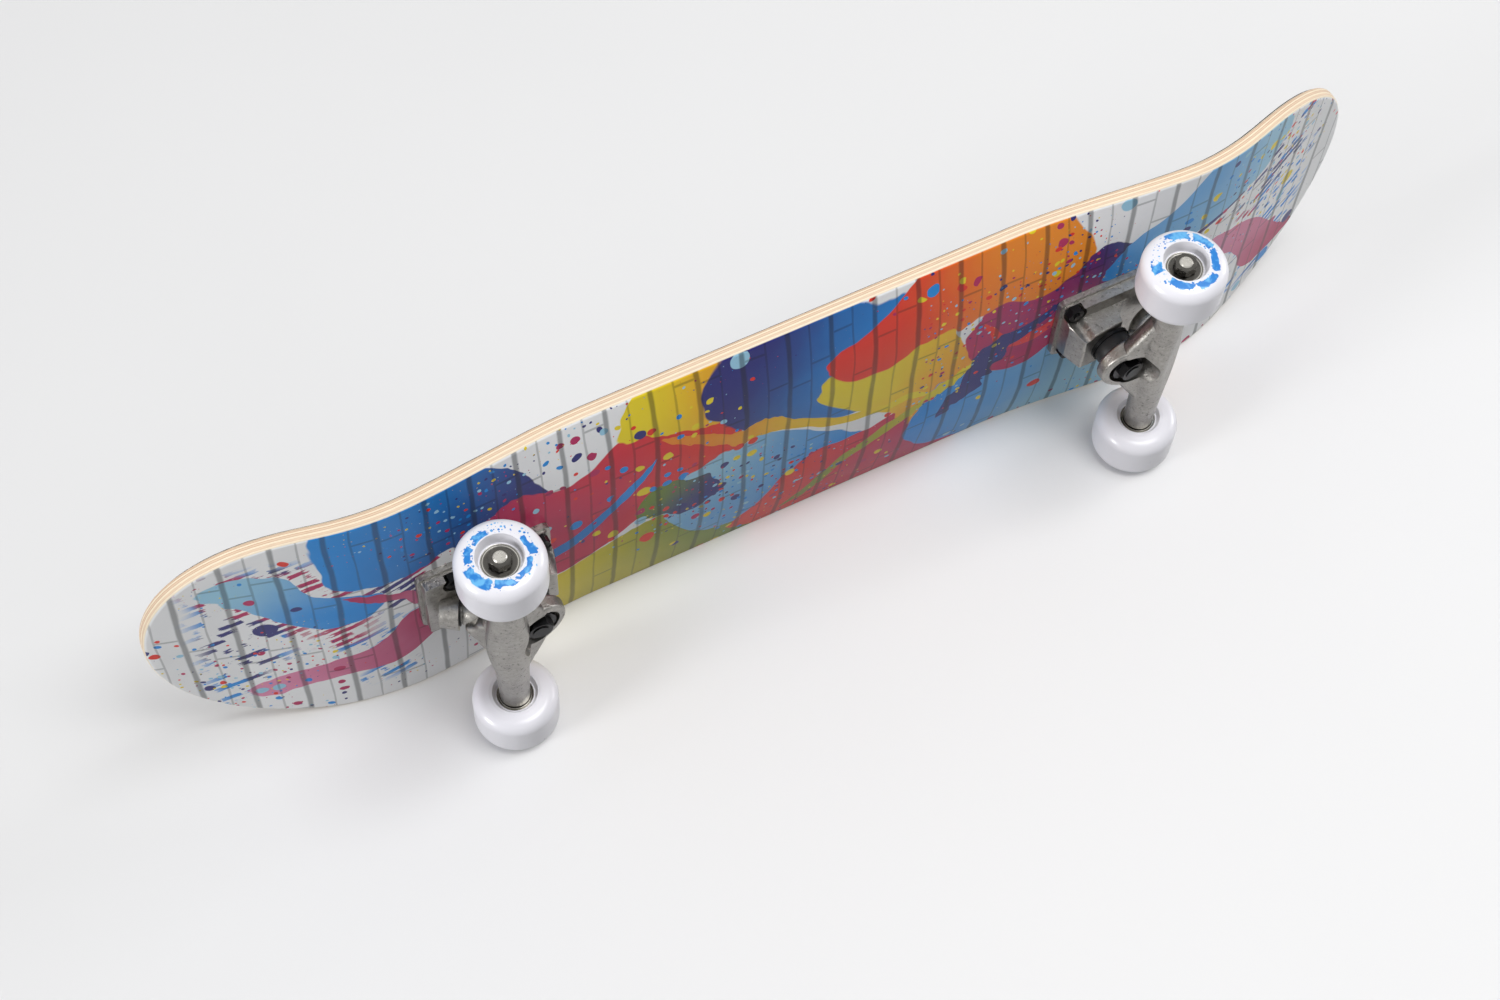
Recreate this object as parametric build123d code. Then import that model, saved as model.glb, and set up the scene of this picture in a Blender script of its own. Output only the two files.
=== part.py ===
"""A street skateboard: seven-ply deck with kicked nose and tail, two leaning trucks and four wheels.

Millimetres, standing on its wheels. +X runs towards the nose, +Y to the rider's left, +Z up, and the
origin lies on the floor under the middle of the deck. Each truck is drawn in its own frame, with its
origin at the middle of the axle and +X pointing away from the middle of the board, and is then placed
at the nose end or turned half round to the tail end.
"""

from build123d import *
import math
import os

# Deck
deck_length = 800.0
deck_width = 210.0
end_length = 103.0
ply_count = 7
ply_thickness = 1.32
deck_edge_radius = 2.5
flat_strip_width = 62.0
concave_depth = 9.6
concave_fade_start = 135.0
concave_fade_end = 265.0
kick_start = 240.0
kick_bend = 80.0
nose_angle = 20.0
tail_angle = 15.6
grip_thickness = 0.8
grip_inset = 3.0
level_length = 320.0
level_width = 56.0
level_rise = 0.05
glue_gap = 0.05
surface_step = 8.0
surface_overhang = 12.0

# Mounting hardware
axle_base = 428.0
hole_spacing_along = 53.98
hole_spacing_across = 41.28
hole_centre_inward = 11.0
bolt_diameter = 4.76
bolt_hole_clearance = 0.15
bolt_head_diameter = 9.4
bolt_head_depth = 2.4
bolt_head_sunk = 1.2
bolt_socket_flats = 3.2
bolt_socket_depth = 1.8
bolt_tip_below_nut = 1.2
lock_nut_flats = 9.5
lock_nut_height = 5.2
thread_clearance = 0.03

# Truck layout, in the truck's own frame
truck_height = 46.0
yoke_inward = 19.6
yoke_above_axle = 9.2
kingpin_tilt = 5.0
lean_tilt = 27.0

# Baseplate
plate_inner_reach = 46.0
plate_outer_reach = 36.0
plate_width = 56.0
plate_corner_radius = 4.5
flange_thickness = 3.5
plate_thickness = 10.0
plate_step = 2.2
nut_pocket_radius = 7.0
nut_pocket_floor = 5.0
hump_width = 32.0
hump_inner_run = 19.2
hump_outer_run = 8.0
hump_heel = 33.0
hump_edge_radius = 1.5
arch_run = 12.0
seat_gap = 0.05

# Pivot
pivot_start = 42.0
pivot_boss_radius = 10.4
pivot_boss_end_radius = 8.6
pivot_end_wall = 2.0
pivot_cup_radius = 7.9
pivot_cup_depth = 9.0
pivot_cup_floor = 2.0
pivot_cup_proud = 1.0
pivot_pin_radius = 5.6
pivot_running_gap = 0.08
pivot_end_gap = 0.4

# Kingpin stack, measured along the kingpin from the middle of the yoke
kingpin_diameter = 9.5
kingpin_clearance = 0.1
kingpin_head_flats = 14.0
kingpin_head_height = 5.5
kingpin_head_above_yoke = 26.0
kingpin_nut_flats = 14.2
kingpin_nut_height = 5.0
kingpin_past_nut = 0.7
yoke_web = 4.0
yoke_radius = 17.3
yoke_recess_radius = 13.2
yoke_hole_radius = 7.0
yoke_rim_radius = 1.8
yoke_mouth_depth = 9.7
yoke_mouth_turn = 14.0
board_bushing_height = 9.5
board_bushing_radius = 11.4
bushing_bulge = 0.9
road_bushing_height = 4.0
road_bushing_radius = 11.0
road_bushing_small_radius = 9.2
road_bushing_bulge = 0.2
washer_thickness = 1.2
washer_rim_height = 1.1
washer_rim_width = 0.8
washer_rim_gap = 0.8

# Hanger: arms on the axle line that flare towards the pivot, a web to the yoke, and a neck on the lean line
hanger_width = 141.0
hanger_end_radius = 8.9
hanger_arm_radius = 10.7
section_count = 20
flare_reach = 40.0
flare_outer_reach = 13.0
flare_inner_reach = 12.0
flare_half_height = 11.5
flare_rise = 2.0
arm_corner_share = 0.95
flare_corner_share = 0.6
web_near_reach = 8.0
web_start = 2.0
web_corner_radius = 4.6
yoke_web_reach = 49.0
yoke_web_far_reach = 27.5
yoke_web_rise = 1.4
yoke_web_half_height = 5.8
pivot_web_turn = 50.0
pivot_web_reach = 42.0
pivot_web_far_reach = 26.5
pivot_web_rise = 2.0
pivot_web_half_height = 7.0
neck_start = 18.0
neck_start_radius = 6.5
neck_swell_at = 28.0
neck_swell_radius = 8.8
neck_end_radius = 6.8
neck_end_gap = 0.8

# Axle and its hardware
axle_diameter = 7.94
axle_press_gap = 0.01
axle_past_nut = 0.6
axle_nut_flats = 12.0
axle_nut_height = 5.0
speed_washer_radius = 5.9
speed_washer_thickness = 1.0

# Wheels
wheel_diameter = 51.0
wheel_width = 34.0
wheel_edge_radius = 8.0
wheel_face_drop = 1.4
wheel_face_flat_radius = 15.5
wheel_opening_radius = 13.5
wheel_opening_floor_radius = 11.7
wheel_inner_recess = 3.0
wheel_web_radius = 9.4

# Bearings
bearing_bore = 8.0
bearing_outside = 22.0
bearing_width = 7.0
bearing_seat_gap = 0.01
inner_ring_shoulder = 6.1
outer_ring_shoulder = 9.0
ball_diameter = 3.97
ball_count = 7
ball_gap = 0.05
shield_thickness = 0.4
shield_sunk = 0.3
shield_inner_gap = 0.25
cage_half_width = 0.9
cage_pocket_gap = 0.08
cage_back = 0.45
bearing_spacer_length = 10.0
bearing_spacer_radius = 5.6

# Sizes that follow from the ones above
deck_thickness = ply_count * ply_thickness
wheel_radius = wheel_diameter / 2
deck_bottom = wheel_radius + truck_height
plate_top = truck_height - seat_gap
bolt_top = truck_height + deck_thickness + glue_gap + grip_thickness - bolt_head_sunk
bolt_tip = plate_top - nut_pocket_floor - lock_nut_height - bolt_tip_below_nut
yoke_place = Location((-yoke_inward, 0, yoke_above_axle))
kingpin_frame = yoke_place * Rot(0, -kingpin_tilt, 0)
lean_frame = yoke_place * Rot(0, -lean_tilt, 0)
yoke_top = yoke_web / 2
yoke_bottom = -yoke_web / 2
hump_seat = yoke_top + board_bushing_height + washer_thickness
road_washer_top = yoke_bottom - road_bushing_height
kingpin_nut_top = road_washer_top - washer_thickness
kingpin_tip = kingpin_nut_top - kingpin_nut_height - kingpin_past_nut
pivot_floor = pivot_start + pivot_cup_depth
inner_bearing_at = hanger_width / 2 + speed_washer_thickness
outer_bearing_at = inner_bearing_at + bearing_width + bearing_spacer_length
outer_washer_at = outer_bearing_at + bearing_width
axle_nut_at = outer_washer_at + speed_washer_thickness
axle_half = axle_nut_at + axle_nut_height + axle_past_nut
pivot_pin_end = pivot_floor - pivot_cup_floor - pivot_end_gap
wheel_inner_face = inner_bearing_at - wheel_inner_recess
wheel_outer_face = wheel_inner_face + wheel_width
ball_pitch_radius = (inner_ring_shoulder + outer_ring_shoulder) / 2


def smooth_step(value):
    """Rises from 0 to 1 with level ends while value runs from 0 to 1."""
    share = min(max(value, 0.0), 1.0)
    return share * share * (3 - 2 * share)


def kick_rise(run, angle):
    """Height of the middle line a run past the start of a kick, whose slope eases in over the bend."""
    slope = math.tan(math.radians(angle))
    share = min(max(run / kick_bend, 0.0), 1.0)
    eased = kick_bend * (share**3 - share**4 / 2)
    return slope * (eased + max(run - kick_bend, 0.0))


def deck_rise(x, y):
    """Height of the deck's underside above its flat middle: the kick, plus the concave at the sides."""
    angle = nose_angle if x > 0 else tail_angle
    fade = smooth_step((abs(x) - concave_fade_start) / (concave_fade_end - concave_fade_start))
    past_flat = max(abs(y) - flat_strip_width / 2, 0.0) / (deck_width / 2 - flat_strip_width / 2)
    return kick_rise(abs(x) - kick_start, angle) + concave_depth * (1 - fade) * past_flat**2


def evenly(half_span):
    """Evenly spaced places from one side to the other, about a surface step apart."""
    count = 2 * math.ceil(half_span / surface_step)
    return [-half_span + 2 * half_span * i / count for i in range(count + 1)]


def curved_sheet(bottom, thickness):
    """A sheet of even thickness that follows the deck's kicks and concave, larger than its outline."""
    across = evenly(deck_width / 2 + surface_overhang)
    along = evenly(deck_length / 2 + surface_overhang)
    grid = [[Vector(x, y, bottom + deck_rise(x, y)) for y in across] for x in along]
    return Solid.extrude(Face.make_surface_from_array_of_points(grid), Vector(0, 0, thickness))


def deck_outline(inset):
    """The plan of the deck, straight sides with half-oval ends, drawn in by an inset."""
    straight = Rectangle(deck_length - 2 * end_length, deck_width - 2 * inset)
    oval = Ellipse(end_length - inset, deck_width / 2 - inset)
    reach = deck_length / 2 - end_length
    return straight + Pos(reach, 0) * oval + Pos(-reach, 0) * oval


def deck_blank(bottom, thickness, inset):
    """A curved sheet cut to the deck's outline."""
    prism = extrude(deck_outline(inset), amount=deck_bottom + deck_length / 2)
    return curved_sheet(bottom, thickness) & prism


def bolt_places():
    """Plan positions of one truck's four bolts, in the truck's own frame."""
    along = hole_spacing_along / 2
    across = hole_spacing_across / 2
    return [(-hole_centre_inward + i * along, j * across) for i in (1, -1) for j in (1, -1)]


def place_truck(shape, end):
    """Moves a shape from the truck's own frame to the nose end or, turned half round, the tail end."""
    turn = 0 if end == "front" else 180
    return Rot(0, 0, turn) * Pos(axle_base / 2, 0, wheel_radius) * shape


def standing(radius, low, high):
    """An upright round bar between two heights."""
    return Pos(0, 0, low) * Cylinder(radius, high - low, align=(Align.CENTER, Align.CENTER, Align.MIN))


def bolt_form(clearance):
    """A countersunk bolt in the truck's frame, its head pulled down below the grip sheet into the wood."""
    shank_radius = bolt_diameter / 2 + clearance
    head_radius = bolt_head_diameter / 2 + clearance
    neck = bolt_top - bolt_head_depth
    head = Cone(shank_radius, head_radius, bolt_head_depth, align=(Align.CENTER, Align.CENTER, Align.MIN))
    return standing(shank_radius, bolt_tip, neck) + Pos(0, 0, neck) * head


def bolt_hole():
    """The room that one bolt needs, open above its head."""
    head_radius = bolt_head_diameter / 2 + bolt_hole_clearance
    return bolt_form(bolt_hole_clearance) + standing(head_radius, bolt_top, bolt_top + deck_thickness)


def bolt_holes():
    """All eight bolt holes, at both ends of the board."""
    holes = [Pos(x, y, 0) * bolt_hole() for x, y in bolt_places()]
    return [place_truck(hole, end) for end in ("front", "rear") for hole in holes]


def make_deck():
    """The pressed maple deck with rounded rims and eight countersunk holes."""
    blank = deck_blank(deck_bottom, deck_thickness, 0)
    rim = [edge for edge in blank.edges() if is_rim(edge)]
    return fillet(rim, deck_edge_radius) - bolt_holes()


def is_rim(edge):
    """Whether an edge runs round the deck, rather than up its side."""
    span = edge.bounding_box().size
    return span.X + span.Y > 2 * deck_thickness


def make_grip_tape():
    """The grip sheet on top of the deck, pressed level in the middle and cut round the bolt heads."""
    low = deck_bottom + deck_thickness + glue_gap
    sheet = deck_blank(low, grip_thickness, grip_inset)
    height = grip_thickness / 2 + level_rise
    level = Box(level_length, level_width, height, align=(Align.CENTER, Align.CENTER, Align.MIN))
    return sheet + Pos(0, 0, low + grip_thickness / 2) * level - bolt_holes()


def hexagon(flats, height):
    """A hexagonal prism standing on the plane, with the given distance across its flats."""
    return extrude(RegularPolygon(flats / 2, 6, major_radius=False), amount=height)


def hex_nut(flats, height, bore):
    """A hexagonal nut standing on the plane, its upper corners turned off to a cone."""
    corner = flats / math.sqrt(3)
    turned = corner - flats / 2
    turned_blank = chamfer(standing(corner, 0, height).edges().group_by(Axis.Z)[-1], turned)
    return (hexagon(flats, height) & turned_blank) - standing(bore / 2, 0, height)


def make_mounting_bolts():
    """One truck's four bolts, each with a hexagonal key socket in its head."""
    socket = Pos(0, 0, bolt_top - bolt_socket_depth) * hexagon(bolt_socket_flats, bolt_socket_depth)
    bolt = bolt_form(0) - socket
    return Compound([Pos(x, y, 0) * bolt for x, y in bolt_places()])


def make_lock_nuts():
    """One truck's four lock nuts, seated in the baseplate's corner pockets."""
    nut = Rot(180, 0, 0) * hex_nut(lock_nut_flats, lock_nut_height, bolt_diameter + 2 * thread_clearance)
    seat = plate_top - nut_pocket_floor
    return Compound([Pos(x, y, seat) * nut for x, y in bolt_places()])


def along_kingpin(radius, low, high):
    """A round bar on the kingpin line, between two places measured from the middle of the yoke."""
    return kingpin_frame * standing(radius, low, high)


def along_lean(radius, near, far):
    """A round bar on the lean line, between two places measured outwards from the middle of the yoke."""
    return lean_frame * Rot(0, 90, 0) * standing(radius, near, far)


def along_axle(radius, near, far):
    """A round bar on the axle line, between two places measured from its middle."""
    return Rot(-90, 0, 0) * standing(radius, near, far)


def plate_layer(low, high, inset):
    """One slab of the baseplate with rounded corners, drawn in by an inset."""
    length = plate_inner_reach + plate_outer_reach - 2 * inset
    plan = RectangleRounded(length, plate_width - 2 * inset, plate_corner_radius - inset)
    middle = (plate_outer_reach - plate_inner_reach) / 2
    return Pos(middle, 0, low) * extrude(plan, amount=high - low)


def in_kingpin_frame(along, up):
    """The place across and up in the truck's side view of a point given in the kingpin's own frame."""
    place = (kingpin_frame * Pos(along, 0, up)).position
    return (place.X, place.Z)


def kingpin_hump():
    """The raised block under the plate: a seat cut square to the kingpin, then an arch up to the plate."""
    inner = -plate_inner_reach + plate_step
    root = plate_top - flange_thickness
    toe = in_kingpin_frame(-hump_inner_run, hump_seat)
    heel = in_kingpin_frame(hump_outer_run, hump_seat)
    arch_top = (heel[0] + arch_run, plate_top - plate_thickness)
    shoulder = math.sqrt(1 / 2)
    arch_middle = (arch_top[0] - shoulder * arch_run, heel[1] + shoulder * (arch_top[1] - heel[1]))
    arch = ThreePointArc(heel, arch_middle, arch_top)
    rest = Polyline(heel, toe, (inner, hump_heel), (inner, root), (arch_top[0], root), arch_top)
    block = extrude(Plane.XZ * make_face([arch, rest]), amount=hump_width / 2, both=True)
    seat_edges = [edge for edge in block.edges() if edge.center().Z < hump_heel - hump_edge_radius]
    return fillet(seat_edges, hump_edge_radius)


def pivot_boss():
    """The boss that holds the pivot cup, narrowing towards its closed end."""
    length = pivot_floor + pivot_end_wall - pivot_start
    standing_up = (Align.CENTER, Align.CENTER, Align.MIN)
    boss = Cone(pivot_boss_radius, pivot_boss_end_radius, length, align=standing_up)
    return lean_frame * Rot(0, 90, 0) * Pos(0, 0, pivot_start) * boss


def make_baseplate():
    """The cast baseplate: flange, stepped body, kingpin hump and pivot boss, with its holes."""
    flange_low = plate_top - flange_thickness
    body = plate_layer(flange_low, plate_top, 0)
    body += plate_layer(plate_top - plate_thickness, flange_low, plate_step)
    body += kingpin_hump()
    body += pivot_boss()
    above = Pos(0, 0, plate_top) * Box(
        deck_length, deck_width, truck_height, align=(Align.CENTER, Align.CENTER, Align.MIN)
    )
    body -= above
    body -= along_lean(pivot_cup_radius, pivot_start - pivot_boss_radius, pivot_floor)
    body -= along_kingpin(kingpin_diameter / 2 + kingpin_clearance, 0, truck_height)
    head_room = hexagon(kingpin_head_flats + 2 * kingpin_clearance, truck_height)
    body -= kingpin_frame * Pos(0, 0, kingpin_head_above_yoke) * head_room
    for x, y in bolt_places():
        body -= Pos(x, y, 0) * standing(nut_pocket_radius, 0, plate_top - nut_pocket_floor)
        body -= Pos(x, y, 0) * bolt_form(bolt_hole_clearance)
    return body


def make_pivot_cup():
    """The plastic cup in the baseplate's pivot boss, with a closed floor."""
    cup = along_lean(pivot_cup_radius - glue_gap, pivot_start - pivot_cup_proud, pivot_floor - glue_gap)
    bore_floor = pivot_floor - pivot_cup_floor
    return cup - along_lean(pivot_pin_radius + pivot_running_gap, 0, bore_floor)


def make_kingpin():
    """The kingpin bolt, its hexagonal head sunk in the baseplate."""
    shank = along_kingpin(kingpin_diameter / 2, kingpin_tip, kingpin_head_above_yoke)
    head = kingpin_frame * Pos(0, 0, kingpin_head_above_yoke) * hexagon(kingpin_head_flats, kingpin_head_height)
    return shank + head


def make_kingpin_nut():
    """The lock nut on the road end of the kingpin."""
    nut = hex_nut(kingpin_nut_flats, kingpin_nut_height, kingpin_diameter + 2 * thread_clearance)
    return kingpin_frame * Pos(0, 0, kingpin_nut_top) * Rot(180, 0, 0) * nut


def cup_washer(bushing_radius):
    """A washer lying under the plane, with a rim standing up round the end of a bushing."""
    rim_inside = bushing_radius + washer_rim_gap
    rim_outside = rim_inside + washer_rim_width
    height = washer_thickness + washer_rim_height
    hollow = standing(rim_inside, washer_thickness, height)
    hole = standing(kingpin_diameter / 2 + kingpin_clearance, 0, height)
    return Pos(0, 0, -washer_thickness) * (standing(rim_outside, 0, height) - hollow - hole)


def make_board_washer():
    """The cup washer between the baseplate and the upper bushing."""
    place = kingpin_frame * Pos(0, 0, hump_seat - washer_thickness) * Rot(180, 0, 0)
    return place * cup_washer(board_bushing_radius)


def make_road_washer():
    """The cup washer between the lower bushing and the kingpin nut."""
    return kingpin_frame * Pos(0, 0, road_washer_top) * cup_washer(road_bushing_small_radius)


def bushing(low, low_radius, high, high_radius, bulge):
    """A round bushing on the kingpin whose side bows out between its two end radii."""
    middle = ((low_radius + high_radius) / 2 + bulge, (low + high) / 2)
    bore = kingpin_diameter / 2 + kingpin_clearance
    side = ThreePointArc((low_radius, low), middle, (high_radius, high))
    ends = Polyline((high_radius, high), (bore, high), (bore, low), (low_radius, low))
    section = Plane.XZ * make_face([side, ends])
    return kingpin_frame * revolve(section, Axis.Z)


def make_board_bushing():
    """The barrel bushing between the baseplate and the hanger."""
    high = yoke_top + board_bushing_height
    return bushing(yoke_top, board_bushing_radius, high, board_bushing_radius, bushing_bulge)


def make_road_bushing():
    """The conical bushing on the road side of the hanger."""
    return bushing(road_washer_top, road_bushing_small_radius, yoke_bottom, road_bushing_radius, road_bushing_bulge)


def across_places(half_span):
    """Evenly spaced places across the board for the hanger's sections."""
    return [half_span * (2 * i / section_count - 1) for i in range(section_count + 1)]


def flare_share(y, reach, roundness):
    """How much of a flare shows at a place across the board: all in the middle, none past its reach."""
    return (1 - min(abs(y) / reach, 1.0) ** roundness) ** 2


def hanger_section(y, turn, near, far, rise, half_height, corner):
    """A rounded block across the hanger from near to far of the axle, turned in the side view."""
    block = Pos((near + far) / 2, rise) * RectangleRounded(far - near, 2 * half_height, corner)
    return Pos(0, y, 0) * Rot(0, -turn, 0) * (Plane.XZ * block)


def hanger_arms():
    """Both arms, round at their ends and flaring out in the middle towards the pivot."""
    sections = []
    for y in across_places(hanger_width / 2):
        flare = flare_share(y, flare_reach, 2)
        arm = hanger_arm_radius + (hanger_end_radius - hanger_arm_radius) * 2 * abs(y) / hanger_width
        near = -arm - flare * (flare_inner_reach - arm)
        far = arm + flare * (flare_outer_reach - arm)
        half_height = arm + flare * (flare_half_height - arm)
        corner = half_height * (arm_corner_share + flare * (flare_corner_share - arm_corner_share))
        sections.append(hanger_section(y, lean_tilt, near, far, flare * flare_rise, half_height, corner))
    return loft(sections)


def hanger_web(side, reach, roundness, far_reach, turn, rise, half_height):
    """A flat web that spreads from both arms towards the middle, on the inner or outer side of the axle."""
    sections = []
    for y in across_places(reach):
        far = web_near_reach + flare_share(y, reach, roundness) * (far_reach - web_near_reach)
        ends = sorted([-side * web_start, side * far])
        sections.append(hanger_section(y, turn, *ends, rise, half_height, web_corner_radius))
    return loft(sections)


def yoke_web_form():
    """The web from the arms to both sides of the yoke, level with the yoke's sloping mouth."""
    turn = kingpin_tilt - yoke_mouth_turn
    return hanger_web(-1, yoke_web_reach, 2, yoke_web_far_reach, turn, yoke_web_rise, yoke_web_half_height)


def pivot_web_form():
    """The web from the arms up to the underside of the pivot neck."""
    far = pivot_web_far_reach
    return hanger_web(1, pivot_web_reach, 1, far, pivot_web_turn, pivot_web_rise, pivot_web_half_height)


def hanger_neck():
    """The swelling neck on the lean line and the pin that turns in the pivot cup."""
    end = pivot_start - pivot_cup_proud - neck_end_gap
    side = Spline((neck_start_radius, neck_start), (neck_swell_radius, neck_swell_at), (neck_end_radius, end))
    rest = Polyline((neck_end_radius, end), (0, end), (0, neck_start), (neck_start_radius, neck_start))
    neck = revolve(Plane.XZ * make_face([side, rest]), Axis.Z)
    return lean_frame * Rot(0, 90, 0) * neck + along_lean(pivot_pin_radius, neck_swell_at, pivot_pin_end)


def hanger_yoke():
    """The ring round the kingpin, its road side cut off on a slope that faces the middle of the board."""
    ring = along_kingpin(yoke_radius, -yoke_radius, yoke_top)
    mouth = kingpin_frame * Pos(0, 0, -yoke_mouth_depth) * Rot(0, yoke_mouth_turn, 0)
    ring -= mouth * Box(truck_height, truck_height, truck_height, align=(Align.CENTER, Align.CENTER, Align.MAX))
    rims = [edge for edge in ring.edges() if edge.length > 2 * math.pi * yoke_recess_radius]
    return fillet(rims, yoke_rim_radius)


def make_hanger():
    """The cast hanger: arms, web, cupped yoke round the kingpin and pivot neck, bored for the axle."""
    body = hanger_arms() + yoke_web_form() + pivot_web_form() + hanger_neck() + hanger_yoke()
    body -= along_kingpin(yoke_recess_radius, -truck_height, yoke_bottom)
    body -= along_kingpin(yoke_hole_radius, yoke_bottom, yoke_top)
    body -= along_kingpin(yoke_recess_radius, yoke_top, truck_height)
    return body - along_axle(axle_diameter / 2 + axle_press_gap, -hanger_width / 2, hanger_width / 2)


def make_axle():
    """The steel axle through the hanger, its ends chamfered."""
    bar = along_axle(axle_diameter / 2, -axle_half, axle_half)
    return chamfer(bar.edges().filter_by(GeomType.CIRCLE), axle_past_nut)


def both_sides(shapes):
    """Copies of shapes on the left of the axle, and again turned round to the right."""
    return Compound([Rot(0, 0, turn) * shape for turn in (0, 180) for shape in shapes])


def make_axle_nuts():
    """The lock nuts on both ends of the axle."""
    nut = hex_nut(axle_nut_flats, axle_nut_height, axle_diameter + 2 * thread_clearance)
    return both_sides([Pos(0, axle_nut_at, 0) * Rot(-90, 0, 0) * nut])


def make_speed_washers():
    """The thin washers on both faces of both wheels' bearings."""
    bore = along_axle(axle_diameter / 2 + thread_clearance, 0, axle_half)
    rings = [
        along_axle(speed_washer_radius, at, at + speed_washer_thickness) - bore
        for at in (hanger_width / 2, outer_washer_at)
    ]
    return both_sides(rings)


def ring_profile(points):
    """A solid turned about the axle line from an outline of radius and place along the axle."""
    outline = make_face(Polyline(*points, close=True))
    return revolve(outline, Axis.Y)


def make_wheel():
    """A cast urethane wheel with rounded rims, an open cone at each face and two bearing seats."""
    seat = bearing_outside / 2 + bearing_seat_gap
    low, high = wheel_inner_face, wheel_outer_face
    blank = ring_profile(
        [
            (wheel_web_radius, low),
            (wheel_face_flat_radius, low),
            (wheel_radius, low + wheel_face_drop),
            (wheel_radius, high - wheel_face_drop),
            (wheel_face_flat_radius, high),
            (wheel_web_radius, high),
        ]
    )
    between = (wheel_face_flat_radius + wheel_radius) / 2
    corners = [edge for edge in blank.edges().filter_by(GeomType.CIRCLE) if edge.radius > between]
    body = fillet(corners, wheel_edge_radius)
    body -= along_axle(seat, inner_bearing_at - wheel_width, inner_bearing_at + bearing_width)
    body -= along_axle(seat, outer_bearing_at, outer_bearing_at + wheel_width)
    body -= opening_cone(low, inner_bearing_at)
    return body - opening_cone(high, outer_bearing_at + bearing_width)


def opening_cone(face, floor):
    """The flared mouth from a wheel face down to the bearing."""
    mouth = [(0, face), (wheel_opening_radius, face), (wheel_opening_floor_radius, floor), (0, floor)]
    return ring_profile(mouth)


def ring_groove():
    """The round track that the balls run in, for a bearing that starts at the plane across the axle."""
    track = Circle(ball_diameter / 2 + ball_gap)
    return revolve(Pos(ball_pitch_radius, bearing_width / 2) * track, Axis.Y)


def bearing_ring(inside, outside):
    """One grooved ring of a bearing."""
    bar = along_axle(outside, 0, bearing_width) - along_axle(inside, 0, bearing_width)
    return bar - ring_groove()


def ball_places():
    """The balls' places round the bearing, as turns about the axle line."""
    return [Rot(0, 360 * i / ball_count, 0) * Pos(ball_pitch_radius, bearing_width / 2, 0) for i in range(ball_count)]


def bearing_cage(outward):
    """A crown cage: a thin ring beside the balls, scalloped round each of them."""
    pole = ball_diameter / 2 + cage_pocket_gap
    back = bearing_width / 2 + outward * (pole + cage_back)
    front = bearing_width / 2 + outward * cage_back
    near, far = min(back, front), max(back, front)
    ring = along_axle(ball_pitch_radius + cage_half_width, near, far)
    ring -= along_axle(ball_pitch_radius - cage_half_width, near, far)
    return ring - [place * Sphere(pole) for place in ball_places()]


def bearing_shield(face, inward):
    """A thin dished-in cover over the balls, seated in the outer ring."""
    start = face + inward * shield_sunk
    end = start + inward * shield_thickness
    near, far = min(start, end), max(start, end)
    cover = along_axle(outer_ring_shoulder - bearing_seat_gap, near, far)
    return cover - along_axle(inner_ring_shoulder + shield_inner_gap, near, far)


def in_both_bearings(shapes):
    """Copies of a bearing's pieces at the inner and the outer bearing of a wheel."""
    return Compound([Pos(0, at, 0) * shape for at in (inner_bearing_at, outer_bearing_at) for shape in shapes])


def wheel_set():
    """A left wheel and all that turns or sits inside it, by name."""
    outer = bearing_ring(outer_ring_shoulder, bearing_outside / 2)
    inner = bearing_ring(bearing_bore / 2, inner_ring_shoulder)
    balls = [place * Sphere(ball_diameter / 2) for place in ball_places()]
    shields = [bearing_shield(0, 1), bearing_shield(bearing_width, -1)]
    spacer_at = inner_bearing_at + bearing_width
    spacer = along_axle(bearing_spacer_radius, spacer_at, spacer_at + bearing_spacer_length)
    return {
        "wheel": make_wheel(),
        "bearing_outer_rings": in_both_bearings([outer]),
        "bearing_inner_rings": in_both_bearings([inner]),
        "bearing_balls": in_both_bearings(balls),
        "bearing_cages": in_both_bearings([bearing_cage(1)]),
        "bearing_shields": in_both_bearings(shields),
        "bearing_spacer": spacer - along_axle(bearing_bore / 2, spacer_at, spacer_at + bearing_spacer_length),
    }


def truck_set():
    """Everything else on one truck, by name."""
    return {
        "mounting_bolts": make_mounting_bolts(),
        "lock_nuts": make_lock_nuts(),
        "baseplate": make_baseplate(),
        "pivot_cup": make_pivot_cup(),
        "kingpin": make_kingpin(),
        "kingpin_nut": make_kingpin_nut(),
        "board_washer": make_board_washer(),
        "board_bushing": make_board_bushing(),
        "road_bushing": make_road_bushing(),
        "road_washer": make_road_washer(),
        "hanger": make_hanger(),
        "axle": make_axle(),
        "axle_nuts": make_axle_nuts(),
        "speed_washers": make_speed_washers(),
    }


def make_pieces():
    """Every piece of the skateboard in place, by name."""
    pieces = {"deck": make_deck(), "grip_tape": make_grip_tape()}
    truck = truck_set()
    wheel = wheel_set()
    for end in ("front", "rear"):
        for name, shape in truck.items():
            pieces[f"{end}_{name}"] = place_truck(shape, end)
        for side in ("left", "right"):
            turn = 0 if (end == "front") == (side == "left") else 180
            for name, shape in wheel.items():
                pieces[f"{end}_{side}_{name}"] = place_truck(Rot(0, 0, turn) * shape, end)
    return pieces


os.makedirs("parts", exist_ok=True)
for piece_name, piece_shape in make_pieces().items():
    export_step(piece_shape, f"parts/{piece_name}.step")
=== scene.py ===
"""Skateboard on its edge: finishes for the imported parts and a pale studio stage."""

import math

import bpy
from mathutils import Matrix, Vector


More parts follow.
